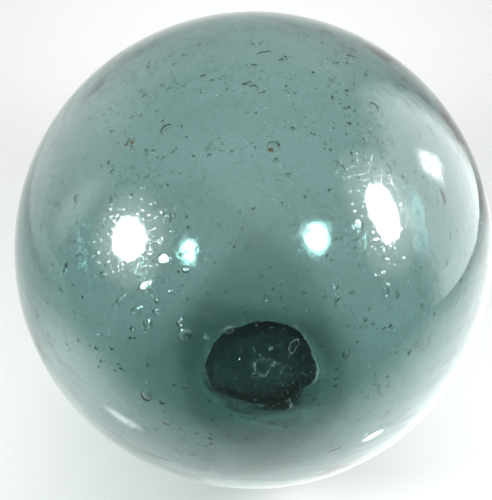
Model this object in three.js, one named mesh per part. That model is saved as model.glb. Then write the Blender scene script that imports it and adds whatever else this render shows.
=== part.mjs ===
// A blown glass fishing float: a ball of sea-green glass, closed by a seal button of the
// same glass that was pressed over the blowpipe hole while both were hot.
// Millimetres, +Z up. The origin is the centre of the small flat that the float stands on,
// on the underside of the seal button, and +Z runs up through the middle of the ball.
// The ball is made solid here: the real one is a sealed shell.

import * as THREE from 'three';

// Driving dimensions
const BALL_DIAMETER = 300;         // across the widest part
const BALL_SAG = 1.2;              // how much less the ball measures upright: it sagged while hot
const SEAL_DIAMETER = 106;         // measured round the ball
const SEAL_LEAN = 5.7;             // degrees from the ball's lowest point to the button's middle
const SEAL_LEAN_TOWARDS = 45;      // which way that is, in degrees from +X towards +Y
const SEAL_PROUD = 3;              // how far the flat underside stands below the ball
const SEAL_FLAT_DIAMETER = 44;     // the flat that the float stands on
const SEAL_RIM_PROUD = 1.4;        // height of the button's rim over the ball
const SEAL_RIM_ROUND = 1.0;        // radius of the rim's rounded edge
const SEAL_SWELL = 1.25;           // how fully the underside swells from the rim to the flat
const SEAT_DEPTH = 2.6;            // how deep the button is pressed into the ball
const SEAT_GAP = 0.3;              // clearance left between the two solids

const SIDES = 80;                  // facets round the button's axis
const BALL_BANDS = 38;             // rows of facets from the seat over the ball to its far side
const SEAT_BANDS = 4;              // rows from the middle to the edge of the seat
const DOME_BANDS = 6;              // rows from the flat to the button's rim
const ROUND_STEPS = 3;             // rows over the rounded rim

// Dimensions worked out from those
const ballRadius = BALL_DIAMETER / 2;
const ballSquash = (BALL_DIAMETER - BALL_SAG) / BALL_DIAMETER;
const ballCentre = SEAL_PROUD + ballRadius * ballSquash;
const sealAngle = SEAL_DIAMETER / 2 / ballRadius;
const seatAngle = sealAngle + SEAT_GAP / ballRadius;
const flatRadius = SEAL_FLAT_DIAMETER / 2;

// The button's axis leans out from straight down, in the plane of outward and Z. Sideways is
// level, square to that plane.
const lean = THREE.MathUtils.degToRad(SEAL_LEAN);
const towards = THREE.MathUtils.degToRad(SEAL_LEAN_TOWARDS);
const outward = new THREE.Vector3(Math.cos(towards), Math.sin(towards), 0);
const sideways = new THREE.Vector3(-Math.sin(towards), Math.cos(towards), 0);
const sealAxis = new THREE.Vector3(0, 0, -Math.cos(lean)).addScaledVector(outward, Math.sin(lean));
const leaned = new THREE.Vector3(0, 0, Math.sin(lean)).addScaledVector(outward, Math.cos(lean));

// A point on the ball: an angle away from the button's axis, at a turn round it, on the ball's
// surface or a depth below it
function ballPoint(angle, turn, depth) {
  const point = new THREE.Vector3()
    .addScaledVector(sealAxis, Math.cos(angle))
    .addScaledVector(leaned, Math.sin(angle) * Math.cos(turn))
    .addScaledVector(sideways, Math.sin(angle) * Math.sin(turn))
    .multiplyScalar(ballRadius - depth);
  point.z = ballCentre + point.z * ballSquash;
  return point;
}

// A point on the floor plane, at the edge of the flat
function flatPoint(turn) {
  return new THREE.Vector3()
    .addScaledVector(outward, flatRadius * Math.cos(turn))
    .addScaledVector(sideways, flatRadius * Math.sin(turn));
}

// One ring of points round the button's axis
function ring(pointAt) {
  return Array.from({ length: SIDES }, (_, side) => pointAt((2 * Math.PI * side) / SIDES));
}

// The ball's rings: out over the dished seat, and from the seat's edge round to the far side
function ballRings() {
  const rings = [];
  for (let i = 1; i <= SEAT_BANDS; i++) {
    rings.push(ring((turn) => ballPoint((seatAngle * i) / SEAT_BANDS, turn, SEAT_DEPTH)));
  }
  for (let i = 0; i < BALL_BANDS; i++) {
    const angle = seatAngle + ((Math.PI - seatAngle) * i) / BALL_BANDS;
    rings.push(ring((turn) => ballPoint(angle, turn, 0)));
  }
  return rings;
}

// The button's rings: from the edge of the flat out to the rim, over the rounded rim, and back
// in over the dished top that lies in the seat
function sealRings() {
  const roundAngle = sealAngle - SEAL_RIM_ROUND / ballRadius;
  const roundDepth = SEAL_RIM_ROUND - SEAL_RIM_PROUD;
  const rings = [];
  for (let i = 0; i < DOME_BANDS; i++) {
    const share = i / DOME_BANDS;
    rings.push(ring((turn) => {
      const rim = ballPoint(roundAngle, turn, -SEAL_RIM_PROUD);
      const point = flatPoint(turn).lerp(rim, share);
      point.z = rim.z * share ** SEAL_SWELL;
      return point;
    }));
  }
  for (let i = 0; i <= ROUND_STEPS; i++) {
    const bend = ((Math.PI / 2) * i) / ROUND_STEPS;
    const angle = roundAngle + (SEAL_RIM_ROUND * Math.sin(bend)) / ballRadius;
    const depth = roundDepth - SEAL_RIM_ROUND * Math.cos(bend);
    rings.push(ring((turn) => ballPoint(angle, turn, depth)));
  }
  for (let i = SEAT_BANDS; i > 0; i--) {
    rings.push(ring((turn) => ballPoint((sealAngle * i) / SEAT_BANDS, turn, SEAT_DEPTH - SEAT_GAP)));
  }
  return rings;
}

// A closed solid through its rings, from a first point below them to a last point above
function ringedSolid(name, first, rings, last, material) {
  const points = [first, ...rings.flat(), last];
  const end = points.length - 1;
  const corner = (row, side) => 1 + row * SIDES + (side % SIDES);
  const faces = [];
  for (let side = 0; side < SIDES; side++) {
    faces.push(0, corner(0, side + 1), corner(0, side));
    for (let row = 0; row < rings.length - 1; row++) {
      faces.push(corner(row, side), corner(row, side + 1), corner(row + 1, side + 1));
      faces.push(corner(row, side), corner(row + 1, side + 1), corner(row + 1, side));
    }
    faces.push(corner(rings.length - 1, side), corner(rings.length - 1, side + 1), end);
  }
  const geometry = new THREE.BufferGeometry().setFromPoints(points);
  geometry.setIndex(faces);
  geometry.computeVertexNormals();
  const mesh = new THREE.Mesh(geometry, material);
  mesh.name = name;
  return mesh;
}

const ballGlass = new THREE.MeshStandardMaterial({
  color: 0x7da096,
  roughness: 0.04,
  metalness: 0,
  transparent: true,
  opacity: 0.6,
});

const sealGlass = new THREE.MeshStandardMaterial({
  color: 0x264a46,
  roughness: 0.08,
  metalness: 0,
  transparent: true,
  opacity: 0.85,
});

const seatMiddle = ballPoint(0, 0, SEAT_DEPTH);
const farSide = ballPoint(Math.PI, 0, 0);
const flatMiddle = new THREE.Vector3(0, 0, 0);
const dishMiddle = ballPoint(0, 0, SEAT_DEPTH - SEAT_GAP);

const float = new THREE.Group();
float.add(ringedSolid('glass_ball', seatMiddle, ballRings(), farSide, ballGlass));
float.add(ringedSolid('seal_button', flatMiddle, sealRings(), dishMiddle, sealGlass));

export default float;
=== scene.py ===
import math
import random

import bmesh
import bpy
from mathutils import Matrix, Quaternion, Vector, noise


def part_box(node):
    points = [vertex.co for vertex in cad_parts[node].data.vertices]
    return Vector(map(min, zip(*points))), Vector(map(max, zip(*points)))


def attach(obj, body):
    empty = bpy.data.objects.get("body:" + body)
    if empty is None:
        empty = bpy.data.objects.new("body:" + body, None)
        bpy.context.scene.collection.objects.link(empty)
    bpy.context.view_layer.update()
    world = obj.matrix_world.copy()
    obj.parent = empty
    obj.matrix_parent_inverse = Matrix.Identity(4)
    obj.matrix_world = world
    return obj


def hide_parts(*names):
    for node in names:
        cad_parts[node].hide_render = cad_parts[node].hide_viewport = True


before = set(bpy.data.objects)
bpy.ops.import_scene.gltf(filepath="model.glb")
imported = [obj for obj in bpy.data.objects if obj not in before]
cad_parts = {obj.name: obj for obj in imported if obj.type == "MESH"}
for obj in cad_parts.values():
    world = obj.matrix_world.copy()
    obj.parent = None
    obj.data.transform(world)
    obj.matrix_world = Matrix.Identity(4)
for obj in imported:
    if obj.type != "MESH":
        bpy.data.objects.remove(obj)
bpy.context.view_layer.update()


# The studio: a pale matt floor that sweeps up into a wall well behind the float, so that
# nothing shows through the clear glass but an even pale ground.
FLOOR_HALF_WIDTH = 2.4
FLOOR_FRONT = -2.0
FLOOR_BACK = 1.1
SWEEP_RADIUS = 0.5
SWEEP_STEPS = 16
WALL_HEIGHT = 2.0

sweep = [(FLOOR_FRONT, 0.0), (0.0, 0.0), (FLOOR_BACK - SWEEP_RADIUS, 0.0)]
for step in range(1, SWEEP_STEPS + 1):
    turn = math.pi / 2 * step / SWEEP_STEPS
    back = FLOOR_BACK - SWEEP_RADIUS * (1 - math.sin(turn))
    sweep.append((back, SWEEP_RADIUS * (1 - math.cos(turn))))
sweep.append((FLOOR_BACK, WALL_HEIGHT))

corners = [(side * FLOOR_HALF_WIDTH, y, z) for y, z in sweep for side in (-1, 1)]
strips = [(2 * i, 2 * i + 1, 2 * i + 3, 2 * i + 2) for i in range(len(sweep) - 1)]
floor_mesh = bpy.data.meshes.new("studio_floor")
floor_mesh.from_pydata(corners, [], strips)
floor_mesh.shade_smooth()
floor = bpy.data.objects.new("studio_floor", floor_mesh)
bpy.context.collection.objects.link(floor)

# From just in front of the float outwards the floor is painted dark wherever the glass mirrors it, a
# painted dark reflection like the one a black flag laid there would give, so that no pale veil lies over
# the front of the glass.
DARK_REFLECTION_STARTS = -0.17
DARK_REFLECTION_FULL = -0.42

floor_paint = bpy.data.materials.new("studio_floor_paint")
floor_paint.use_nodes = True
floor_nodes, floor_links = floor_paint.node_tree.nodes, floor_paint.node_tree.links
matt = floor_nodes["Principled BSDF"]
matt.inputs["Base Color"].default_value = (0.78, 0.777, 0.77, 1.0)
matt.inputs["Roughness"].default_value = 0.9
matt.inputs["Specular IOR Level"].default_value = 0.2
# Painted dark reflection: the colour the floor in front of the float takes only where the glass mirrors it.
painted_dark_reflection = floor_nodes.new("ShaderNodeBsdfDiffuse")
painted_dark_reflection.inputs["Color"].default_value = (0.10, 0.10, 0.10, 1.0)
spot = floor_nodes.new("ShaderNodeNewGeometry")
split = floor_nodes.new("ShaderNodeSeparateXYZ")
floor_links.new(spot.outputs["Position"], split.inputs["Vector"])
painted_dark_reflection_share = floor_nodes.new("ShaderNodeMapRange")
painted_dark_reflection_share.interpolation_type = "SMOOTHSTEP"
painted_dark_reflection_share.inputs["From Min"].default_value = DARK_REFLECTION_STARTS
painted_dark_reflection_share.inputs["From Max"].default_value = DARK_REFLECTION_FULL
floor_links.new(split.outputs["Y"], painted_dark_reflection_share.inputs["Value"])
# The painted dark reflection shows only to reflected rays, not to the camera or to lamps.
seen_by = floor_nodes.new("ShaderNodeLightPath")
mirrored = floor_nodes.new("ShaderNodeMath")
mirrored.operation = "GREATER_THAN"
mirrored.inputs[1].default_value = 0.5
floor_links.new(seen_by.outputs["Glossy Depth"], mirrored.inputs[0])
both = floor_nodes.new("ShaderNodeMath")
both.operation = "MULTIPLY"
floor_links.new(painted_dark_reflection_share.outputs["Result"], both.inputs[0])
floor_links.new(mirrored.outputs[0], both.inputs[1])
floor_mix = floor_nodes.new("ShaderNodeMixShader")
floor_links.new(both.outputs[0], floor_mix.inputs["Fac"])
floor_links.new(matt.outputs["BSDF"], floor_mix.inputs[1])
floor_links.new(painted_dark_reflection.outputs["BSDF"], floor_mix.inputs[2])
floor_links.new(floor_mix.outputs["Shader"], floor_nodes["Material Output"].inputs["Surface"])
floor_mesh.materials.append(floor_paint)


# The float as the CAD has it: how wide it is, how tall, and where its middle is. It sagged
# a little while it was hot, so it is less tall than wide.
BALL_SAG = 0.0006

ball_low, ball_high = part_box("glass_ball")
ball_wide = (ball_high.x - ball_low.x) / 2
ball_tall = ball_wide - BALL_SAG
middle = Vector((0.0, 0.0, ball_high.z - ball_tall))


# The camera stands close to the float and looks down on it.
LOOK_DOWN = math.radians(39.0)
CAMERA_AWAY = 2.43
LENS_MM = 38.2
AIM_LEFT = 0.0043
AIM_UP = 0.0004

camera_data = bpy.data.cameras.new("camera")
camera_data.lens = LENS_MM
camera_data.sensor_width = 36.0
camera_data.clip_start = 0.005
camera = bpy.data.objects.new("camera", camera_data)
bpy.context.collection.objects.link(camera)
away = Vector((0.0, -math.cos(LOOK_DOWN), math.sin(LOOK_DOWN)))
camera.location = middle + away * CAMERA_AWAY * ball_wide
aim = middle + Vector((-AIM_LEFT, 0.0, -AIM_UP))
camera.rotation_mode = "QUATERNION"
camera.rotation_quaternion = (aim - camera.location).to_track_quat("-Z", "Y")
bpy.context.scene.camera = camera


# Two soft lamps stand a little above the float, one on each side of the camera. They light the
# floor, and a bright card in front of each makes its reflections in the glass. Pale boards stand
# at the sides. A wide lamp over the far end of the floor lights what is behind the float.
LAMP_WHITE = (0.95, 1.0, 1.0, 1.0)
TEARS_ACROSS = 20.0
SPARKS_ACROSS = 40.0
SPARK_SIZE = 0.24
SPARKS_AT_MIDDLE = 0.72
SPARKS_LOST_OUTWARDS = 0.6

# Light that the far wall throws back has crossed four skins of glass or more by the time it is
# out again. Light that the near wall throws back has crossed two at most.
BETWEEN_TWO_AND_FOUR = 3.5


def from_angles(azimuth, height):
    """A direction away from the float. Azimuth 0 is towards the camera, and positive is to its right."""
    a, h = math.radians(azimuth), math.radians(height)
    return Vector((math.sin(a) * math.cos(h), -math.cos(a) * math.cos(h), math.sin(h)))


def add_lamp(name, shape, place, aimed_at, width, tall, glow):
    """A lamp whose power grows with the size of its face, so that glow sets how bright it looks."""
    data = bpy.data.lights.new(name, "AREA")
    data.shape = shape
    data.size = width
    data.size_y = tall
    face = width * tall * (math.pi / 4 if shape == "ELLIPSE" else 1.0)
    data.energy = glow * face * math.pi
    lamp = bpy.data.objects.new(name, data)
    bpy.context.collection.objects.link(lamp)
    lamp.location = place
    lamp.rotation_mode = "QUATERNION"
    lamp.rotation_quaternion = (aimed_at - place).to_track_quat("-Z", "Y")
    lamp.visible_camera = False
    lamp.visible_glossy = False
    lamp.visible_transmission = False
    return lamp


def add_card(name, place, facing, width, tall, roll, squareness, ragged, fades, glow,
             specks=0.0, far_wall=False):
    """A glowing card that shows only in the glass. Squareness 2 gives an oval, and more gives a
    rectangle with rounded corners. Fades lists how far out from the middle, from 0 to 1, and what
    share of the glow is left there. Specks is how bright the sparks round its middle are. A far
    wall card shows only where the hollow far side of the float throws it back."""
    corners = [(-width / 2, -tall / 2, 0), (width / 2, -tall / 2, 0),
               (width / 2, tall / 2, 0), (-width / 2, tall / 2, 0)]
    mesh = bpy.data.meshes.new(name)
    mesh.from_pydata(corners, [], [(0, 1, 2, 3)])
    card = bpy.data.objects.new(name, mesh)
    bpy.context.collection.objects.link(card)
    card.location = place
    card.rotation_mode = "QUATERNION"
    card.rotation_quaternion = facing.to_track_quat("Z", "Y") @ Quaternion((0, 0, 1), math.radians(roll))
    card.visible_camera = False
    card.visible_diffuse = False
    card.visible_shadow = False

    material = bpy.data.materials.new(name)
    material.use_nodes = True
    material.cycles.emission_sampling = "NONE"
    nodes, links = material.node_tree.nodes, material.node_tree.links
    nodes.remove(nodes["Principled BSDF"])

    def maths(operation, *values):
        node = nodes.new("ShaderNodeMath")
        node.operation = operation
        for socket, value in zip(node.inputs, values):
            if isinstance(value, (int, float)):
                socket.default_value = value
            else:
                links.new(value, socket)
        return node.outputs[0]

    place_on_card = nodes.new("ShaderNodeTexCoord").outputs["Generated"]
    split = nodes.new("ShaderNodeSeparateXYZ")
    links.new(place_on_card, split.inputs["Vector"])
    ways = []
    for side in ("X", "Y"):
        off_middle = maths("ABSOLUTE", maths("MULTIPLY_ADD", split.outputs[side], 2.0, -1.0))
        ways.append(maths("POWER", off_middle, squareness))
    out = maths("POWER", maths("ADD", *ways), 1.0 / squareness)
    tears = nodes.new("ShaderNodeTexNoise")
    tears.inputs["Scale"].default_value = TEARS_ACROSS
    tears.inputs["Detail"].default_value = 5.0
    links.new(place_on_card, tears.inputs["Vector"])
    torn = maths("ADD", out, maths("MULTIPLY", maths("SUBTRACT", tears.outputs["Fac"], 0.5), ragged))
    ramp = nodes.new("ShaderNodeValToRGB")
    stops = ramp.color_ramp.elements
    while len(stops) < len(fades):
        stops.new(0.5)
    for stop, (position, share) in zip(stops, fades):
        stop.position = position
        stop.color = (share, share, share, 1.0)
    links.new(torn, ramp.inputs["Fac"])
    strength = maths("MULTIPLY", ramp.outputs["Color"], glow)
    if specks:
        sparks = nodes.new("ShaderNodeTexVoronoi")
        sparks.inputs["Scale"].default_value = SPARKS_ACROSS
        links.new(place_on_card, sparks.inputs["Vector"])
        small = maths("LESS_THAN", sparks.outputs["Distance"], SPARK_SIZE)
        share_lit = maths("MULTIPLY_ADD", out, -SPARKS_LOST_OUTWARDS, SPARKS_AT_MIDDLE)
        few = maths("LESS_THAN", sparks.outputs["Color"], share_lit)
        strength = maths("ADD", strength, maths("MULTIPLY", maths("MULTIPLY", small, few), specks))
    if far_wall:
        skins_crossed = nodes.new("ShaderNodeLightPath").outputs["Transmission Depth"]
        strength = maths("MULTIPLY", strength, maths("GREATER_THAN", skins_crossed, BETWEEN_TWO_AND_FOUR))
    shine = nodes.new("ShaderNodeEmission")
    shine.inputs["Color"].default_value = LAMP_WHITE
    links.new(strength, shine.inputs["Strength"])
    clear = nodes.new("ShaderNodeBsdfTransparent")
    glow_over = nodes.new("ShaderNodeAddShader")
    links.new(shine.outputs["Emission"], glow_over.inputs[0])
    links.new(clear.outputs["BSDF"], glow_over.inputs[1])
    links.new(glow_over.outputs["Shader"], nodes["Material Output"].inputs["Surface"])
    mesh.materials.append(material)
    return card


def add_card_round(name, azimuth, height, distance, **rest):
    """A card at a direction and distance from the middle of the float, facing it."""
    away = from_angles(azimuth, height)
    return add_card(name, middle + away * distance, -away, **rest)


left_place = middle + from_angles(azimuth=-55.5, height=28.0) * 0.615
right_place = middle + from_angles(azimuth=61.0, height=35.0) * 0.444
add_lamp("lamp_left", "ELLIPSE", left_place, middle, width=0.15, tall=0.16, glow=43.0)
add_lamp("lamp_right", "ELLIPSE", right_place, middle, width=0.08, tall=0.15, glow=62.0)

# Each lamp's bright face as the front of the glass mirrors it, with a torn edge and sparks.
LAMP_FADES = [(0.0, 1.0), (0.295, 1.0), (0.335, 0.12), (0.42, 0.016), (1.0, 0.0)]
left_face = add_card_round("lamp_face_left", -55.5, 28.8, 0.61, width=0.40, tall=0.41, roll=0,
                           squareness=2.2, ragged=0.16, fades=LAMP_FADES, glow=240.0, specks=60.0)
right_face = add_card_round("lamp_face_right", 62.0, 35.8, 0.44, width=0.225, tall=0.39, roll=19,
                            squareness=2.4, ragged=0.16, fades=LAMP_FADES, glow=240.0, specks=70.0)

# The same lamps once more, smaller, as the hollow far wall throws them back through the glass.
BACK_FADES = [(0.0, 1.0), (0.55, 1.0), (0.72, 0.16), (1.0, 0.0)]
add_card_round("lamp_back_left", -47.7, 22.3, 1.9, width=0.84, tall=0.86, roll=0,
               squareness=2.0, ragged=0.35, fades=BACK_FADES, glow=170.0, far_wall=True)
add_card_round("lamp_back_right", 51.8, 28.5, 1.9, width=0.50, tall=0.64, roll=0,
               squareness=2.0, ragged=0.35, fades=BACK_FADES, glow=170.0, far_wall=True)

# Pale boards: tall ones at the sides, a blotchy window beside the right one, and pale sheets and
# scraps that lie on the floor beside the float. They and the lamps' bright faces show only as
# the glass mirrors them, and not through it.
BOARD_FADES = [(0.0, 1.0), (0.62, 0.85), (0.82, 0.3), (1.0, 0.0)]
SOFT_FADES = [(0.0, 1.0), (0.35, 0.85), (0.7, 0.3), (1.0, 0.0)]
up = Vector((0.0, 0.0, 1.0))
mirrored_cards = [
    left_face,
    right_face,
    add_card_round("board_right", 103, 10, 0.85, width=1.10, tall=1.50, roll=0,
                   squareness=5.0, ragged=0.40, fades=BOARD_FADES, glow=3.4),
    add_card_round("board_left", -88, 20, 0.85, width=0.26, tall=0.62, roll=8,
                   squareness=2.5, ragged=0.45, fades=SOFT_FADES, glow=1.5),
    add_card_round("board_far_left", -112, 18, 0.90, width=1.40, tall=1.40, roll=0,
                   squareness=2.5, ragged=0.25, fades=SOFT_FADES, glow=1.2),
    add_card_round("window_right", 104.3, 22.2, 0.80, width=0.17, tall=0.24, roll=-20,
                   squareness=3.0, ragged=1.6, fades=BACK_FADES, glow=9.0),
    add_card("sheet_right", Vector((0.40, -0.02, 0.003)), up, width=1.1, tall=0.90, roll=0,
             squareness=3.0, ragged=0.25, fades=SOFT_FADES, glow=1.85),
    add_card("sheet_left", Vector((-0.34, -0.17, 0.003)), up, width=0.60, tall=0.34, roll=0,
             squareness=3.0, ragged=0.25, fades=SOFT_FADES, glow=0.85),
    add_card("scrap_right", Vector((0.142, -0.158, 0.004)), up, width=0.034, tall=0.016, roll=25,
             squareness=2.0, ragged=0.5, fades=SOFT_FADES, glow=16.0),
    add_card("scrap_left", Vector((-0.172, -0.180, 0.004)), up, width=0.085, tall=0.034, roll=-25,
             squareness=2.0, ragged=1.0, fades=SOFT_FADES, glow=3.4),
]
for card in mirrored_cards:
    card.visible_transmission = False

backdrop_lamp = add_lamp("lamp_backdrop", "RECTANGLE", Vector((0.0, 0.95, 1.7)), Vector((0.0, 1.0, 0.0)),
                         width=1.8, tall=0.5, glow=2.1)
backdrop_lamp.data.spread = math.radians(80)

# A small lamp inside the float lights the floor under the seal, which would look black through
# so much glass.
under_lamp = add_lamp("lamp_under", "ELLIPSE", Vector((0.01, 0.01, 0.04)), Vector((0.01, 0.01, 0.0)),
                      width=0.10, tall=0.10, glow=3.4)
under_lamp.data.spread = math.radians(60)


# The room round the studio is dim, and a little lighter overhead at the back. What is looked
# at straight through the glass is always the pale ground, from every side, and matt things are
# lit by an even soft light.
ROOM_TINT = (0.93, 0.97, 0.97, 1.0)
ROOM_LOW = 0.06
ROOM_HIGH = 0.17
ROOM_BACK = 0.30
PALE_GROUND = 0.78
SOFT_LIGHT = 0.60

world = bpy.data.worlds.new("studio_room")
world.use_nodes = True
room = world.node_tree
background = room.nodes["Background"]
background.inputs["Color"].default_value = ROOM_TINT


def room_maths(operation, first, second):
    node = room.nodes.new("ShaderNodeMath")
    node.operation = operation
    for socket, value in zip(node.inputs, (first, second)):
        if isinstance(value, float):
            socket.default_value = value
        else:
            room.links.new(value, socket)
    return node.outputs[0]


looking = room.nodes.new("ShaderNodeTexCoord")
split = room.nodes.new("ShaderNodeSeparateXYZ")
room.links.new(looking.outputs["Generated"], split.inputs["Vector"])


def room_slope(value, start, end, low, high):
    """Grows from low to high as a value goes from start to end."""
    node = room.nodes.new("ShaderNodeMapRange")
    node.interpolation_type = "SMOOTHSTEP"
    node.inputs["From Min"].default_value = start
    node.inputs["From Max"].default_value = end
    node.inputs["To Min"].default_value = low
    node.inputs["To Max"].default_value = high
    room.links.new(value, node.inputs["Value"])
    return node.outputs["Result"]


dim = room_maths("ADD", room_slope(split.outputs["Z"], -0.05, 0.6, ROOM_LOW, ROOM_HIGH),
                 room_slope(split.outputs["Y"], -0.1, 0.7, 0.0, ROOM_BACK))
path = room.nodes.new("ShaderNodeLightPath")
scattered = room_maths("GREATER_THAN", path.outputs["Diffuse Depth"], 0.5)
mirrored = room_maths("GREATER_THAN", path.outputs["Glossy Depth"], 0.5)


def room_choice(chosen, otherwise, instead):
    """The first value where chosen is 0, and the second where it is 1."""
    first = room_maths("MULTIPLY", room_maths("SUBTRACT", 1.0, chosen), otherwise)
    return room_maths("ADD", first, room_maths("MULTIPLY", chosen, instead))


seen = room_choice(mirrored, PALE_GROUND, dim)
room.links.new(room_choice(scattered, seen, SOFT_LIGHT), background.inputs["Strength"])
bpy.context.scene.world = world

cycles = bpy.context.scene.cycles
cycles.max_bounces = 40
cycles.transmission_bounces = 40
cycles.transparent_max_bounces = 60
cycles.glossy_bounces = 16
cycles.diffuse_bounces = 4
cycles.sample_clamp_indirect = 60.0
cycles.use_denoising = True
bpy.context.scene.view_settings.view_transform = "Standard"


# The blown ball is a thin shell of sea-green bottle glass, left thicker at its base round the
# place where the blowpipe was. Its outside was smoothed in the fire. Its inside keeps the
# waves and cords of the hot gather, which make things seen through it waver.
OUTSIDE_RINGS, OUTSIDE_SIDES = 110, 180
INSIDE_RINGS, INSIDE_SIDES = 190, 300
WALL_AT_TOP = 0.0040
WALL_AT_SIDE = 0.0046
WALL_AT_BASE = 0.0110
BASE_GATHER = 6
BASE_MIDDLE = Vector((-0.05, 0.0, -1.0)).normalized()
OUTSIDE_UNEVEN = 0.00012
OUTSIDE_RIPPLE = 0.00005
INSIDE_THE_CAD = 0.0001
WALL_UNEVEN = 0.0006
WALL_LUMPS = 0.00024
WALL_CORDS = 0.00012
CORD_TWIST = 1.2
CORD_SQUEEZE = 3.5


def noise_at(direction, waves, seed):
    return noise.noise(direction * waves + Vector((seed, seed * 1.7, -seed)))


def outside_radius(direction):
    """How far the ball's outside is from its middle: nearly round, with a slow unevenness."""
    level = math.hypot(direction.x, direction.y)
    round_part = 1.0 / math.hypot(level / ball_wide, direction.z / ball_tall)
    uneven = OUTSIDE_UNEVEN * noise_at(direction, 1.6, 3.1)
    ripple = OUTSIDE_RIPPLE * noise_at(direction, 4.5, 7.7)
    return round_part + (uneven + ripple) - INSIDE_THE_CAD


def wall_thickness(direction):
    down = max(0.0, direction.dot(BASE_MIDDLE))
    up = max(0.0, direction.z)
    wall = WALL_AT_SIDE + (WALL_AT_BASE - WALL_AT_SIDE) * down ** BASE_GATHER
    wall -= (WALL_AT_SIDE - WALL_AT_TOP) * up ** 2
    slow = WALL_UNEVEN * noise_at(direction, 2.2, 11.0)
    lumps = WALL_LUMPS * noise_at(direction, 6.0, 23.0)
    twisted = Quaternion((0, 0, 1), CORD_TWIST * direction.z) @ direction
    cords = WALL_CORDS * noise_at(Vector((twisted.x, twisted.y, direction.z * CORD_SQUEEZE)), 8.0, 31.0)
    return wall + slow + lumps + cords


def inside_radius(direction):
    return outside_radius(direction) - wall_thickness(direction)


def ball_surface(rings, sides, radius_at, faces_in):
    """Points and faces of a closed skin round the middle, from the bottom pole to the top."""
    lowest, highest = Vector((0, 0, -1)), Vector((0, 0, 1))
    points = [middle + lowest * radius_at(lowest)]
    for i in range(1, rings):
        tilt = math.pi * i / rings
        for j in range(sides):
            turn = math.tau * (j + 0.5 * (i % 2)) / sides
            level = math.sin(tilt)
            direction = Vector((level * math.cos(turn), level * math.sin(turn), -math.cos(tilt)))
            points.append(middle + direction * radius_at(direction))
    points.append(middle + highest * radius_at(highest))
    top = len(points) - 1
    faces = []
    for j in range(sides):
        k = (j + 1) % sides
        faces.append((0, 1 + k, 1 + j))
        faces.append((top, top - sides + j, top - sides + k))
    for i in range(rings - 2):
        low, high = 1 + i * sides, 1 + (i + 1) * sides
        for j in range(sides):
            k = (j + 1) % sides
            if i % 2:
                faces.append((low + j, low + k, high + j))
                faces.append((low + k, high + k, high + j))
            else:
                faces.append((low + j, high + k, high + j))
                faces.append((low + j, low + k, high + k))
    if faces_in:
        faces = [tuple(reversed(face)) for face in faces]
    return points, faces


def add_skin(points, faces, more_points, more_faces):
    start = len(points)
    points.extend(more_points)
    faces.extend(tuple(start + corner for corner in face) for face in more_faces)


def make_piece(name, points, faces, material):
    mesh = bpy.data.meshes.new(name)
    mesh.from_pydata(points, [], faces)
    mesh.shade_smooth()
    mesh.materials.append(material)
    piece = bpy.data.objects.new(name, mesh)
    bpy.context.collection.objects.link(piece)
    return piece


WAVES_TO_A_METRE = 70.0
CHILL_MARKS_TO_A_METRE = 420.0
PITS_TO_A_METRE = 320.0
PIT_SIZE = 0.28
PIT_SHARE = 0.42
MICRONS = 1e6


def fire_skin_group():
    """How high hot glass stands where it cooled: broad waves, fine chill marks and small pits."""
    group = bpy.data.node_groups.new("fire_skin", "ShaderNodeTree")
    group.interface.new_socket("Place", in_out="INPUT", socket_type="NodeSocketVector")
    for name in ("Waves", "Chill Marks", "Pits"):
        group.interface.new_socket(name, in_out="INPUT", socket_type="NodeSocketFloat")
    group.interface.new_socket("Height", in_out="OUTPUT", socket_type="NodeSocketFloat")
    nodes, links = group.nodes, group.links
    given = nodes.new("NodeGroupInput")
    result = nodes.new("NodeGroupOutput")

    def share_of(value, amount):
        node = nodes.new("ShaderNodeMath")
        node.operation = "MULTIPLY"
        links.new(value, node.inputs[0])
        links.new(given.outputs[amount], node.inputs[1])
        return node.outputs[0]

    parts = []
    for scale, amount in ((WAVES_TO_A_METRE, "Waves"), (CHILL_MARKS_TO_A_METRE, "Chill Marks")):
        ripple = nodes.new("ShaderNodeTexNoise")
        ripple.inputs["Scale"].default_value = scale
        ripple.inputs["Detail"].default_value = 2.0
        links.new(given.outputs["Place"], ripple.inputs["Vector"])
        parts.append(share_of(ripple.outputs["Fac"], amount))
    pit = nodes.new("ShaderNodeTexVoronoi")
    pit.inputs["Scale"].default_value = PITS_TO_A_METRE
    links.new(given.outputs["Place"], pit.inputs["Vector"])
    bowl = nodes.new("ShaderNodeMapRange")
    bowl.interpolation_type = "SMOOTHSTEP"
    bowl.inputs["From Max"].default_value = PIT_SIZE
    bowl.inputs["To Min"].default_value = -1.0
    bowl.inputs["To Max"].default_value = 0.0
    links.new(pit.outputs["Distance"], bowl.inputs["Value"])
    chosen = nodes.new("ShaderNodeMath")
    chosen.operation = "LESS_THAN"
    chosen.inputs[1].default_value = PIT_SHARE
    links.new(pit.outputs["Color"], chosen.inputs[0])
    sparse = nodes.new("ShaderNodeMath")
    sparse.operation = "MULTIPLY"
    links.new(bowl.outputs["Result"], sparse.inputs[0])
    links.new(chosen.outputs[0], sparse.inputs[1])
    parts.append(share_of(sparse.outputs[0], "Pits"))
    total = parts[0]
    for part in parts[1:]:
        add = nodes.new("ShaderNodeMath")
        links.new(total, add.inputs[0])
        links.new(part, add.inputs[1])
        total = add.outputs[0]
    links.new(total, result.inputs["Height"])
    return group


fire_skin = fire_skin_group()


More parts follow.
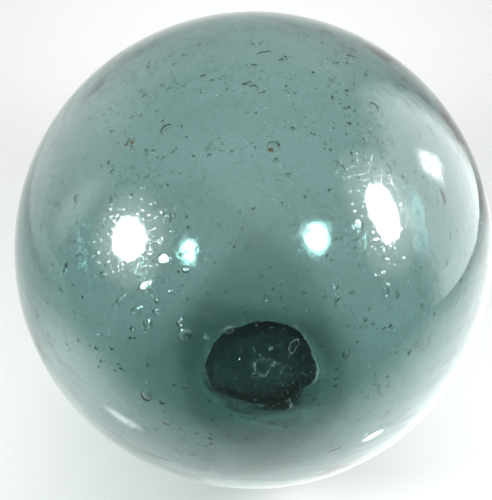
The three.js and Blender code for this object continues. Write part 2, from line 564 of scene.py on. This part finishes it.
def add_fire_skin(material, waves, chill_marks, pits):
    """Roughens a material's normal by the fire skin, whose amounts are in metres."""
    nodes, links = material.node_tree.nodes, material.node_tree.links
    skin = nodes.new("ShaderNodeGroup")
    skin.node_tree = fire_skin
    links.new(nodes.new("ShaderNodeTexCoord").outputs["Object"], skin.inputs["Place"])
    skin.inputs["Waves"].default_value = waves * MICRONS
    skin.inputs["Chill Marks"].default_value = chill_marks * MICRONS
    skin.inputs["Pits"].default_value = pits * MICRONS
    bump = nodes.new("ShaderNodeBump")
    bump.inputs["Distance"].default_value = 1e-6
    links.new(skin.outputs["Height"], bump.inputs["Height"])
    links.new(bump.outputs["Normal"], nodes["Principled BSDF"].inputs["Normal"])


def make_glass(name, tint, lamp_tint):
    """Clear bottle glass. Tint colours each wall, and the lamps' light goes on through it to the floor."""
    material = bpy.data.materials.new(name)
    material.use_nodes = True
    nodes, links = material.node_tree.nodes, material.node_tree.links
    glass = nodes["Principled BSDF"]
    glass.inputs["Base Color"].default_value = (*tint, 1.0)
    glass.inputs["Roughness"].default_value = 0.04
    glass.inputs["IOR"].default_value = 1.52
    glass.inputs["Transmission Weight"].default_value = 1.0
    path = nodes.new("ShaderNodeLightPath")
    lamp_light = nodes.new("ShaderNodeBsdfTransparent")
    lamp_light.inputs["Color"].default_value = (*lamp_tint, 1.0)
    for_diffuse = nodes.new("ShaderNodeMixShader")
    for_shadow = nodes.new("ShaderNodeMixShader")
    links.new(path.outputs["Is Diffuse Ray"], for_diffuse.inputs["Fac"])
    links.new(glass.outputs["BSDF"], for_diffuse.inputs[1])
    links.new(lamp_light.outputs["BSDF"], for_diffuse.inputs[2])
    links.new(path.outputs["Is Shadow Ray"], for_shadow.inputs["Fac"])
    links.new(for_diffuse.outputs["Shader"], for_shadow.inputs[1])
    links.new(lamp_light.outputs["BSDF"], for_shadow.inputs[2])
    links.new(for_shadow.outputs["Shader"], nodes["Material Output"].inputs["Surface"])
    return material


def add_depth_of_colour(material, colour, density):
    """Glass that darkens with its thickness. Density is what it takes from each metre where colour is 0."""
    depth = material.node_tree.nodes.new("ShaderNodeVolumeAbsorption")
    depth.inputs["Color"].default_value = (*colour, 1.0)
    depth.inputs["Density"].default_value = density
    output = material.node_tree.nodes["Material Output"]
    material.node_tree.links.new(depth.outputs["Volume"], output.inputs["Volume"])


ball_glass = make_glass("sea_green_glass", tint=(0.75, 0.835, 0.83), lamp_tint=(0.84, 0.885, 0.88))
add_depth_of_colour(ball_glass, colour=(0.0, 0.347, 0.305), density=95.0)
add_fire_skin(ball_glass, waves=30e-6, chill_marks=16e-6, pits=60e-6)

ball_points, ball_faces = ball_surface(OUTSIDE_RINGS, OUTSIDE_SIDES, outside_radius, False)
inner_points, inner_faces = ball_surface(INSIDE_RINGS, INSIDE_SIDES, inside_radius, True)
add_skin(ball_points, ball_faces, inner_points, inner_faces)
ball = make_piece("glass_ball_blown", ball_points, ball_faces, ball_glass)
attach(ball, "root")
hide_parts("glass_ball")


# Seeds are the fine bubbles of gas left all through old bottle glass. Each is a closed hole in
# the wall, flattened with it and drawn out along the twist of the gather as the ball was blown.
FINE_SEED_COUNT = 15000
SEED_COUNT = 4200
SPRAY_COUNT = 900
SMALL_SEED = 0.0005
MEDIUM_SEED = 0.0012
SPARE_GLASS = 0.0004
SEED_STRETCH = (1.0, 1.8)
SEED_THICK_SHARE = (0.28, 0.55)
SEED_LEAN, SEED_LEAN_SPREAD = 0.5, 0.4
FINE_SEED_SIZES = (0.00022, 0.00049)

bubble_wall = bpy.data.materials.new("bubble_wall")
bubble_wall.use_nodes = True
bubble_glass = bubble_wall.node_tree.nodes["Principled BSDF"]
bubble_glass.inputs["Base Color"].default_value = (1.0, 1.0, 1.0, 1.0)
bubble_glass.inputs["Roughness"].default_value = 0.04
bubble_glass.inputs["IOR"].default_value = 1.52
bubble_glass.inputs["Transmission Weight"].default_value = 1.0
drawn = random.Random(41)


def ico_ball(splits):
    """A round ball of unit radius, as points and outward faces."""
    shape = bmesh.new()
    bmesh.ops.create_icosphere(shape, subdivisions=splits, radius=1.0)
    points = [vertex.co.copy() for vertex in shape.verts]
    faces = [tuple(vertex.index for vertex in face.verts) for face in shape.faces]
    shape.free()
    return points, faces


fine_ball, small_ball, smooth_ball = (ico_ball(splits) for splits in (1, 2, 3))
speck = ([Vector(p) for p in ((1, 0, 0), (-1, 0, 0), (0, 1, 0), (0, -1, 0), (0, 0, 1), (0, 0, -1))],
         [(0, 2, 4), (2, 1, 4), (1, 3, 4), (3, 0, 4), (2, 0, 5), (1, 2, 5), (3, 1, 5), (0, 3, 5)])


def along_the_wall(direction, turn):
    """Two level-with-the-wall directions: one turned from east by turn, and one square to it."""
    east = Vector((0, 0, 1)).cross(direction)
    east = east.normalized() if east.length > 1e-4 else Vector((1, 0, 0))
    along = Quaternion(direction, turn) @ east
    return along, direction.cross(along)


def add_void(points, faces, direction, depth, length, width, thick, turn, shape):
    """A bubble in the wall: depth is how far its middle is below the ball's outside."""
    along, across = along_the_wall(direction, turn)
    place = middle + direction * (outside_radius(direction) - depth)
    hole = [place + along * p.x * length / 2 + across * p.y * width / 2 + direction * p.z * thick / 2
            for p in shape[0]]
    add_skin(points, faces, hole, [tuple(reversed(face)) for face in shape[1]])


def any_direction(lowest, highest):
    z = drawn.uniform(lowest, highest)
    turn = drawn.uniform(0, math.tau)
    level = math.sqrt(1 - z * z)
    return Vector((level * math.cos(turn), level * math.sin(turn), z))


def add_seed(points, faces, direction, size):
    stretch = drawn.uniform(*SEED_STRETCH)
    thick = size * drawn.uniform(*SEED_THICK_SHARE)
    spare = wall_thickness(direction) - thick - 2 * SPARE_GLASS
    depth = SPARE_GLASS + thick / 2 + max(0.0, spare) * drawn.random()
    shape = speck if size < SMALL_SEED else fine_ball if size < MEDIUM_SEED else small_ball
    turn = SEED_LEAN + drawn.gauss(0, SEED_LEAN_SPREAD)
    add_void(points, faces, direction, depth, size * stretch, size, thick, turn, shape)


def add_bubbles(name, points, faces, wall):
    """Adds a piece made of closed holes in the glass, whose faces have a wall of their own material."""
    bubbles = make_piece(name, points, faces, wall)
    bubbles.visible_shadow = False
    bubbles.visible_diffuse = False
    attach(bubbles, "root")
    return bubbles


speck_points, speck_faces = [], []
for _ in range(FINE_SEED_COUNT):
    add_seed(speck_points, speck_faces, any_direction(-1, 1), drawn.uniform(*FINE_SEED_SIZES))
add_bubbles("fine_seed_bubbles", speck_points, speck_faces, bubble_wall)

seed_points, seed_faces = [], []
for _ in range(SEED_COUNT):
    add_seed(seed_points, seed_faces, any_direction(-1, 1), 0.0005 + 0.0011 * drawn.random() ** 2.3)
for _ in range(SPRAY_COUNT):
    add_seed(seed_points, seed_faces, any_direction(0.78, 1), 0.00045 + 0.0006 * drawn.random() ** 2)
add_bubbles("seed_bubbles", seed_points, seed_faces, bubble_wall)


# Blisters are the larger bubbles, pressed flat in the wall. The ones that show most each have a
# place of their own, and a good many more are scattered over the ball at random.
# Each row is longitude, latitude, length, width (mm) and turn (degrees from level).
BLISTERS = [
    (-28, 57, 6.0, 4.4, 65), (-37, 53, 4.6, 3.6, 50), (6, 56, 5.6, 5.2, 0), (-40, 48, 2.4, 1.6, 50),
    (-38, 47, 2.8, 1.9, 50), (-18, 43, 2.8, 2.3, 20), (-19.5, 43, 2.2, 1.8, 0), (-18, 36, 5.4, 4.6, 20),
    (-13, 35, 3.4, 3.0, 40), (-41, 28, 3.0, 2.2, 60), (-31, 30, 3.4, 2.6, 30), (-21, 31, 4.4, 3.2, 70),
    (-18, 29, 2.4, 2.2, 0), (-18, 27, 2.8, 2.4, 0), (-19, 25, 2.2, 2.0, 0), (-22, 23, 2.9, 2.4, 30),
    (-13, 26, 3.2, 2.6, 10), (-12, 24, 6.8, 5.6, 35), (-4, 26, 4.2, 3.6, 30), (-8, 24, 3.0, 2.4, 0),
    (-43, 9, 2.8, 2.0, 80), (-34, 16, 2.8, 2.2, 40), (-26, 18, 2.3, 2.0, 0), (-30, 16, 2.5, 2.0, 60),
    (-24, 14, 2.5, 2.1, 0), (-19, 10, 6.4, 5.4, 80), (-15, 5, 5.0, 3.2, 20), (17, 20, 4.6, 3.2, 75),
    (30, 16, 2.7, 2.2, 20), (35, 16, 2.8, 2.0, 60), (26, 29, 4.4, 3.4, 70), (16, 32, 2.7, 2.2, 0),
    (16, 30, 3.2, 2.2, 40), (16, -3, 7.2, 4.8, 15), (37, 3, 3.4, 2.6, 50), (44, 20, 6.4, 1.6, 35),
    (46, 4, 6.4, 1.4, 60), (47, 23, 2.8, 2.0, 40), (49, 39, 8.2, 4.8, 80), (53, 42, 6.0, 3.0, 75),
    (50, 45, 6.2, 3.6, 70), (62, 49, 6.2, 2.6, 70), (47, 32, 4.6, 2.2, 60), (46, 59, 5.6, 4.6, 60),
    (78, 53, 5.2, 3.2, 60), (8, 77, 7.2, 2.6, 15), (65, 70, 3.2, 1.8, 0), (67, 69, 2.7, 1.6, 0),
    (58, 65, 3.2, 1.8, 10), (40, 64, 3.4, 1.6, 10), (71, 58, 3.4, 2.2, 40), (-52, 54, 1.9, 1.3, 30),
    (-43, 57, 1.9, 1.3, 30), (-40, 58, 2.0, 1.4, 30), (-36, 60, 1.8, 1.2, 30),
]
MORE_BLISTERS = 190
THICK_SHARE = 0.24
LARGE_THICK_SHARE = 0.14
LARGE_BLISTER = 0.0034


def on_ball(longitude, latitude):
    """Longitude 0 is towards the camera, and positive is to its right."""
    return from_angles(longitude, latitude)


def add_blister(points, faces, direction, length, width, turn):
    most = wall_thickness(direction) - 2.5 * SPARE_GLASS
    share = LARGE_THICK_SHARE if length > LARGE_BLISTER else THICK_SHARE
    thick = min(share * width, most)
    depth = 1.25 * SPARE_GLASS + thick / 2 + (most - thick) * drawn.random()
    shape = smooth_ball if length > LARGE_BLISTER else small_ball
    add_void(points, faces, direction, depth, length, width, thick, turn, shape)


blister_points, blister_faces = [], []
for longitude, latitude, length, width, turn in BLISTERS:
    add_blister(blister_points, blister_faces, on_ball(longitude, latitude),
                length / 1000, width / 1000, math.radians(turn))
for _ in range(MORE_BLISTERS):
    width = 0.0016 + 0.0034 * drawn.random() ** 2.6
    length = width * drawn.uniform(1.0, 1.6)
    direction = any_direction(-0.9, 0.97)
    add_blister(blister_points, blister_faces, direction, length, width, drawn.uniform(0, math.pi))
add_bubbles("blister_bubbles", blister_points, blister_faces, bubble_wall)


# The thick base holds rings of trapped air, with small bubbles and two streaks beside them. Their
# walls are etched and milky, so they show pale in the dark glass.
# Each row is longitude, latitude, length, width (mm) and turn, as the blisters are.
BASE_RINGS = [(130, -83.5, 18.0, 14.5, 97), (125, -70.5, 12.0, 8.5, 73), (110, -82, 4.0, 3.4, 0)]
BASE_BLISTERS = [
    (98, -78.2, 2.4, 1.8, 40), (90, -79, 1.8, 1.6, 0), (103, -76.5, 1.6, 1.3, 0), (112, -79, 1.5, 1.3, 0),
    (-101, -78, 12.0, 0.8, 20), (84, -66, 9.0, 0.8, 90),
]
RING_AIR = 0.0006
RING_STEPS, RING_SIDES = 56, 10
BASE_SEEDS = 90
BASE_SPREAD = 23
BASE_SEED_DEPTH = 0.003
BASE_THICK_SHARE = 0.6
NEAR_INSIDE = 0.0007

etched_wall = bubble_wall.copy()
etched_wall.name = "etched_bubble_wall"
etched_glass = etched_wall.node_tree.nodes["Principled BSDF"]
etched_glass.inputs["Roughness"].default_value = 0.3
etched_glass.inputs["Transmission Weight"].default_value = 0.75


def add_ring(points, faces, direction, length, width, turn):
    """A thin ring of air that lies in the glass just under the ball's inside."""
    along, across = along_the_wall(direction, turn)
    depth = wall_thickness(direction) - NEAR_INSIDE - RING_AIR / 2
    place = middle + direction * (outside_radius(direction) - depth)
    start = len(points)
    for i in range(RING_STEPS):
        way = math.tau * i / RING_STEPS
        line = place + along * length / 2 * math.cos(way) + across * width / 2 * math.sin(way)
        outward = (along * width * math.cos(way) + across * length * math.sin(way)).normalized()
        for j in range(RING_SIDES):
            bend = math.tau * j / RING_SIDES
            points.append(line + (outward * math.cos(bend) + direction * math.sin(bend)) * RING_AIR / 2)
    for i in range(RING_STEPS):
        this_row, next_row = start + i * RING_SIDES, start + (i + 1) % RING_STEPS * RING_SIDES
        for j in range(RING_SIDES):
            k = (j + 1) % RING_SIDES
            faces.append((this_row + k, next_row + k, next_row + j, this_row + j))


base_points, base_faces = [], []
for longitude, latitude, length, width, turn in BASE_RINGS:
    add_ring(base_points, base_faces, on_ball(longitude, latitude),
             length / 1000, width / 1000, math.radians(turn))
for longitude, latitude, length, width, turn in BASE_BLISTERS:
    direction = on_ball(longitude, latitude)
    thick = BASE_THICK_SHARE * width / 1000
    depth = wall_thickness(direction) - NEAR_INSIDE - thick / 2
    add_void(base_points, base_faces, direction, depth, length / 1000, width / 1000, thick,
             math.radians(turn), smooth_ball)
for _ in range(BASE_SEEDS):
    size = 0.0006 + 0.0008 * drawn.random() ** 2
    direction = on_ball(drawn.uniform(-180, 180), -90 + BASE_SPREAD * math.sqrt(drawn.random()))
    depth = wall_thickness(direction) - NEAR_INSIDE - size - BASE_SEED_DEPTH * drawn.random()
    add_void(base_points, base_faces, direction, depth, size, size, 0.8 * size, 0.0, small_ball)
add_bubbles("base_bubbles", base_points, base_faces, etched_wall)


# Stones are crumbs of the furnace's clay and rust that never melted. Three brown ones sit in two
# blisters near the top of the ball, and a pale one lies in the thick glass of the base.
# Each row is longitude, latitude, length, width and thickness (mm).
STONES = [
    (-37, 53, 2.6, 2.0, 1.6), (-38.4, 52.2, 1.5, 1.3, 1.2), (5.0, 55.4, 1.9, 1.7, 1.4),
]
PALE_STONE_PLACE = (46, -70)
PALE_STONE_ABOVE_INSIDE = 0.0016
PALE_STONE_LONG, PALE_STONE_WIDE, PALE_STONE_THICK = 0.0044, 0.0036, 0.0020
STONE_TURN = 0.6
STONE_ROUGHNESS = 0.5
rust = bpy.data.materials.new("rusty_clay")
rust.use_nodes = True
rust_nodes, rust_links = rust.node_tree.nodes, rust.node_tree.links
clay = rust_nodes["Principled BSDF"]
clay.inputs["Roughness"].default_value = 0.85
mottle = rust_nodes.new("ShaderNodeTexNoise")
mottle.inputs["Scale"].default_value = 1400.0
mottle.inputs["Detail"].default_value = 3.0
shades = rust_nodes.new("ShaderNodeValToRGB")
shades.color_ramp.elements[0].position = 0.38
shades.color_ramp.elements[0].color = (0.10, 0.045, 0.03, 1.0)
shades.color_ramp.elements[1].position = 0.62
shades.color_ramp.elements[1].color = (0.46, 0.27, 0.19, 1.0)
place = rust_nodes.new("ShaderNodeTexCoord")
rust_links.new(place.outputs["Object"], mottle.inputs["Vector"])
rust_links.new(mottle.outputs["Fac"], shades.inputs["Fac"])
rust_links.new(shades.outputs["Color"], clay.inputs["Base Color"])


def add_stone(points, faces, direction, depth, long, wide, thick, seed):
    """A lump of rough stone with its middle a depth below the ball's outside."""
    along, across = along_the_wall(direction, STONE_TURN)
    place = middle + direction * (outside_radius(direction) - depth)
    lump = []
    for p in smooth_ball[0]:
        swell = 1 + STONE_ROUGHNESS * noise_at(p, 1.6, seed)
        from_middle = along * p.x * long / 2 + across * p.y * wide / 2 + direction * p.z * thick / 2
        lump.append(place + swell * from_middle)
    add_skin(points, faces, lump, smooth_ball[1])


stone_points, stone_faces = [], []
for number, (longitude, latitude, long, wide, thick) in enumerate(STONES):
    direction = on_ball(longitude, latitude)
    add_stone(stone_points, stone_faces, direction, wall_thickness(direction) / 2,
              long / 1000, wide / 1000, thick / 1000, 4.0 + number)
stones = make_piece("rusty_stones", stone_points, stone_faces, rust)
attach(stones, "root")

pale_clay = rust.copy()
pale_clay.name = "pale_clay"
pale_shades = next(node for node in pale_clay.node_tree.nodes if node.type == "VALTORGB")
pale_shades.color_ramp.elements[0].color = (0.34, 0.25, 0.23, 1.0)
pale_shades.color_ramp.elements[1].color = (0.78, 0.64, 0.60, 1.0)
pale_points, pale_faces = [], []
direction = on_ball(*PALE_STONE_PLACE)
add_stone(pale_points, pale_faces, direction, wall_thickness(direction) - PALE_STONE_ABOVE_INSIDE,
          PALE_STONE_LONG, PALE_STONE_WIDE, PALE_STONE_THICK, 9.0)
pale_stone = make_piece("pale_stone", pale_points, pale_faces, pale_clay)
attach(pale_stone, "root")


# The seal button is a second gather of the same glass, pressed over the blowpipe hole with a
# paddle while both were hot. It is thick and dark, its edge is uneven, and it leans off the
# ball's lowest point. The float stands on its flattened underside.
SEAL_ARC = 0.106
SEAL_LEAN = 5.7
SEAL_LEAN_AZIMUTH = 135
SEAL_FLAT_RADIUS = 0.022
SEAL_RIM_PROUD = 0.0014
SEAL_RIM_ROUND = 0.0010
SEAL_SWELL = 1.25
SEAL_SIDES = 200
SEAL_DOME_BANDS = 26
SEAL_ROUND_STEPS = 6
SEAL_TOP_BANDS = 26
FUSED_DEPTH = 0.0006
SEAL_ROUGHNESS = 0.2
SEAL_FLAT_SHARE = 0.42
RIM_SHARE, RIM_UNEVEN = 0.965, 0.05
TOOLED_DEPTH = 0.00035
TOOLED_HALF_WAVES = 9

seal_angle = SEAL_ARC / 2 / ball_wide
seal_axis = from_angles(SEAL_LEAN_AZIMUTH, SEAL_LEAN - 90)
seal_out = from_angles(SEAL_LEAN_AZIMUTH, SEAL_LEAN)
seal_across = seal_axis.cross(seal_out)


def seal_direction(angle, turn):
    """A direction from the ball's middle, an angle away from the button's axis."""
    ring = seal_out * math.cos(turn) + seal_across * math.sin(turn)
    return seal_axis * math.cos(angle) + ring * math.sin(angle)


def rim_share(turn):
    """How far out the hand-pressed rim comes at a turn, as a share of the full size."""
    return RIM_SHARE + RIM_UNEVEN * noise_at(Vector((math.cos(turn), math.sin(turn), 0)), 1.7, 5.0)


def rim_angle(turn):
    """How far round from the button's axis the rim's rounded edge starts, at a turn."""
    return (seal_angle - SEAL_RIM_ROUND / ball_wide) * rim_share(turn)


def seal_underside(share, turn):
    """Share goes from 0 at the middle of the flat to 1 at the start of the rim's rounded edge."""
    direction = seal_direction(rim_angle(turn), turn)
    rim = middle + direction * (outside_radius(direction) + SEAL_RIM_PROUD)
    level_out = Vector((seal_out.x, seal_out.y, 0)).normalized()
    level_across = Vector((seal_across.x, seal_across.y, 0)).normalized()
    flat_edge = SEAL_FLAT_RADIUS * (level_out * math.cos(turn) + level_across * math.sin(turn))
    if share < SEAL_FLAT_SHARE:
        return flat_edge * (share / SEAL_FLAT_SHARE)
    rise = (share - SEAL_FLAT_SHARE) / (1 - SEAL_FLAT_SHARE)
    point = flat_edge.lerp(rim, rise)
    point.z = rim.z * rise ** SEAL_SWELL
    wave = math.sin(TOOLED_HALF_WAVES * math.pi * rise + 1.5 * math.sin(turn))
    return point + Vector((0, 0, TOOLED_DEPTH * wave * rise * (1 - rise)))


seal_points = [Vector((0, 0, 0))]
for i in range(1, SEAL_DOME_BANDS + 1):
    for j in range(SEAL_SIDES):
        seal_points.append(seal_underside(i / SEAL_DOME_BANDS, math.tau * j / SEAL_SIDES))
for i in range(1, SEAL_ROUND_STEPS + 1):
    bend = math.pi / 2 * i / SEAL_ROUND_STEPS
    for j in range(SEAL_SIDES):
        turn = math.tau * j / SEAL_SIDES
        direction = seal_direction(rim_angle(turn) + SEAL_RIM_ROUND * math.sin(bend) / ball_wide, turn)
        height = SEAL_RIM_PROUD - SEAL_RIM_ROUND * (1 - math.cos(bend))
        seal_points.append(middle + direction * (outside_radius(direction) + height))
for i in range(SEAL_TOP_BANDS, 0, -1):
    for j in range(SEAL_SIDES):
        turn = math.tau * j / SEAL_SIDES
        direction = seal_direction(rim_angle(turn) * i / SEAL_TOP_BANDS, turn)
        seal_points.append(middle + direction * (outside_radius(direction) - FUSED_DEPTH))
seal_points.append(middle + seal_axis * (outside_radius(seal_axis) - FUSED_DEPTH))

seal_faces = []
last = len(seal_points) - 1
rows = (last - 1) // SEAL_SIDES
for j in range(SEAL_SIDES):
    k = (j + 1) % SEAL_SIDES
    seal_faces.append((0, 1 + k, 1 + j))
    seal_faces.append((last, last - SEAL_SIDES + j, last - SEAL_SIDES + k))
for i in range(rows - 1):
    low, high = 1 + i * SEAL_SIDES, 1 + (i + 1) * SEAL_SIDES
    for j in range(SEAL_SIDES):
        k = (j + 1) % SEAL_SIDES
        seal_faces.append((low + j, low + k, high + k, high + j))

seal_glass = make_glass("seal_glass", tint=(0.72, 0.92, 0.90), lamp_tint=(0.98, 0.98, 0.98))
add_depth_of_colour(seal_glass, colour=(0.0, 0.05, 0.07), density=42.0)
add_fire_skin(seal_glass, waves=60e-6, chill_marks=6e-6, pits=2e-6)
seal = make_piece("seal_button_pressed", seal_points, seal_faces, seal_glass)
seal_glass.node_tree.nodes["Principled BSDF"].inputs["Roughness"].default_value = SEAL_ROUGHNESS
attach(seal, "root")
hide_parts("seal_button")
